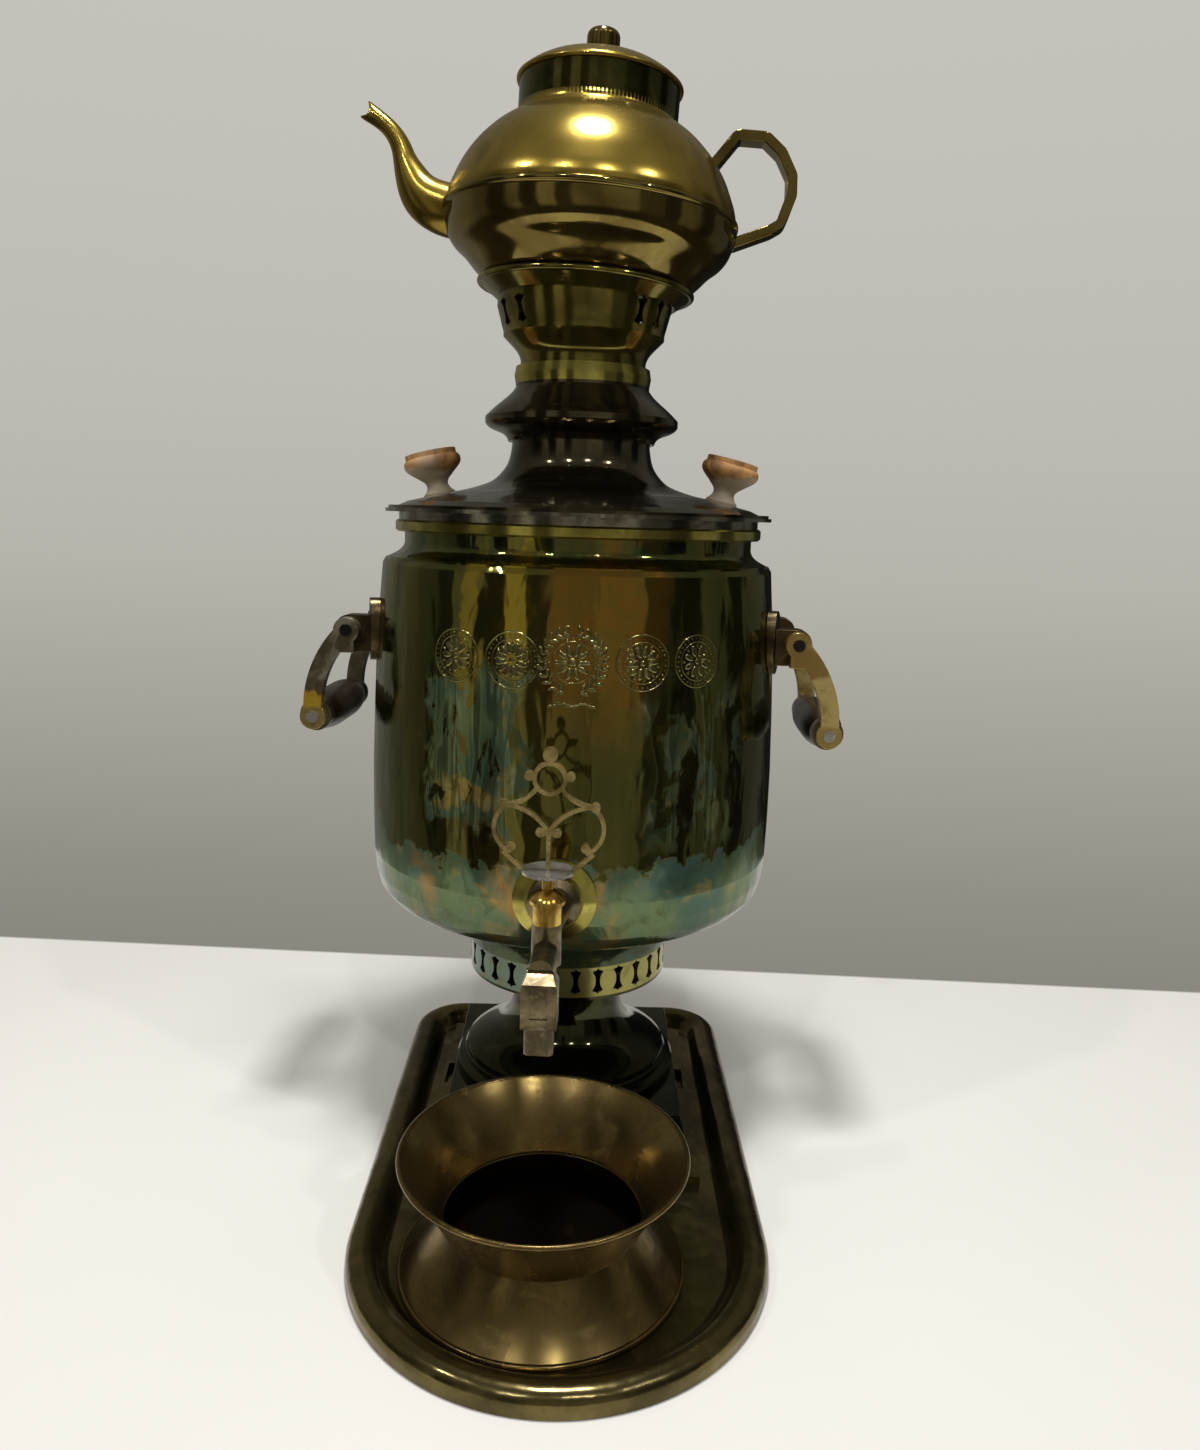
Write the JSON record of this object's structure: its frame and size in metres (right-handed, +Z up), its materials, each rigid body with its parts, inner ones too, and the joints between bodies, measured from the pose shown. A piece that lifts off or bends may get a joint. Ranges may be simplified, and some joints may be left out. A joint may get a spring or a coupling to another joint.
{
  "type": "samovar",
  "caption": "Charcoal samovar with a straight-sided body on a round and square foot, a tap with an openwork key, carrying handles, a lid, a pierced crown, a teapot, a slop bowl and a tray.",
  "frame": {"origin": "on the surface that the tray stands on, under the samovar's axis", "axes": "+Z up along the samovar's axis, -Y towards the tap and the slop bowl, +X towards the right-hand carrying handle as seen from the tap"},
  "size_m": [0.2924, 0.3513, 0.5784],
  "materials": {
    "tray_brass": "dull, brown tarnish",
    "bowl_brass": "worn, brown",
    "foot_brass": "worn satin",
    "body_brass": "polished, tarnished",
    "ring_brass": "bright satin",
    "lid_brass": "dark satin",
    "crown_brass": "olive satin",
    "tap_bronze": "cast, worn",
    "key_brass": "dull gold",
    "disc_metal": "worn tin",
    "handle_brass": "aged",
    "ferrule_metal": "grey",
    "iron": "sooty",
    "grip_wood": "dark, handled",
    "knob_wood": "raw, weathered",
    "teapot_brass": "polished, golden"
  },
  "bodies": {
    "tray": {"tray": "tray_brass"},
    "base_plate": {"base_plate": "tray_brass"},
    "slop_bowl": {"bowl_lower": "bowl_brass", "bowl_upper": "bowl_brass", "bowl_floor": "bowl_brass"},
    "samovar": {"plinth": "foot_brass", "foot_ring": "foot_brass", "pedestal": "foot_brass", "air_ring": "foot_brass", "body": "body_brass", "body_neck": "body_brass", "neck_ring": "ring_brass", "fire_tube": "tap_bronze", "grate": "iron", "tap_escutcheon": "ring_brass", "tap_body": "tap_bronze", "tap_nut": "tap_bronze", "bracket_front_left": "handle_brass", "bracket_back_left": "handle_brass", "bracket_front_right": "handle_brass", "bracket_back_right": "handle_brass", "hinge_pins_left": "handle_brass", "hinge_pins_right": "handle_brass"},
    "tap_key": {"tap_plug": "key_brass", "tap_washer": "tap_bronze", "plug_nut": "tap_bronze", "tap_disc": "disc_metal", "tap_key": "key_brass"},
    "handle_left": {"arm_front_left": "handle_brass", "arm_back_left": "handle_brass", "grip_left": "grip_wood", "ferrules_left": "ferrule_metal", "handle_rod_left": "handle_brass"},
    "handle_right": {"arm_front_right": "handle_brass", "arm_back_right": "handle_brass", "grip_right": "grip_wood", "ferrules_right": "ferrule_metal", "handle_rod_right": "handle_brass"},
    "lid": {"lid_rim": "lid_brass", "lid_shell": "lid_brass", "lid_knob_left": "knob_wood", "lid_knob_right": "knob_wood", "knob_screws": "iron"},
    "crown": {"crown_sleeve": "crown_brass", "crown_collar": "lid_brass", "crown_ring": "crown_brass", "crown_cup": "crown_brass", "crown_gallery": "crown_brass", "crown_flange": "crown_brass"},
    "teapot": {"teapot_lower": "teapot_brass", "teapot_upper": "teapot_brass", "teapot_neck": "teapot_brass", "teapot_spout": "teapot_brass", "teapot_handle": "teapot_brass"},
    "teapot_lid": {"teapot_lid": "teapot_brass", "teapot_lid_sleeve": "teapot_brass", "teapot_knob": "teapot_brass", "teapot_knob_screw": "teapot_brass"}
  },
  "joints": [
    {"name": "base_plate_lift", "type": "slide", "parent": "tray", "child": "base_plate", "axis": [0, 0, 1], "range_m": [0, 0.06]},
    {"name": "bowl_lift", "type": "slide", "parent": "tray", "child": "slop_bowl", "axis": [0, 0, 1], "range_m": [0, 0.05]},
    {"name": "samovar_lift", "type": "slide", "parent": "base_plate", "child": "samovar", "axis": [0, 0, 1], "range_m": [0, 0.06]},
    {"name": "tap_turn", "type": "hinge", "parent": "samovar", "child": "tap_key", "pos_m": [0, -0.15, 0.16], "axis": [0, 0, 1], "continuous": true},
    {"name": "handle_left_swing", "type": "hinge", "parent": "samovar", "child": "handle_left", "pos_m": [-0.117, 0, 0.2745], "axis": [0, 1, 0], "range_deg": [0, 140]},
    {"name": "handle_right_swing", "type": "hinge", "parent": "samovar", "child": "handle_right", "pos_m": [0.117, 0, 0.2745], "axis": [0, -1, 0], "range_deg": [0, 140]},
    {"name": "lid_lift", "type": "slide", "parent": "samovar", "child": "lid", "axis": [0, 0, 1], "range_m": [0, 0.08]},
    {"name": "crown_lift", "type": "slide", "parent": "lid", "child": "crown", "axis": [0, 0, 1], "range_m": [0, 0.05]},
    {"name": "teapot_lift", "type": "slide", "parent": "crown", "child": "teapot", "axis": [0, 0, 1], "range_m": [0, 0.08]},
    {"name": "teapot_lid_lift", "type": "slide", "parent": "teapot", "child": "teapot_lid", "axis": [0.0471, 0, 0.9989], "range_m": [0, 0.04]}
  ]
}
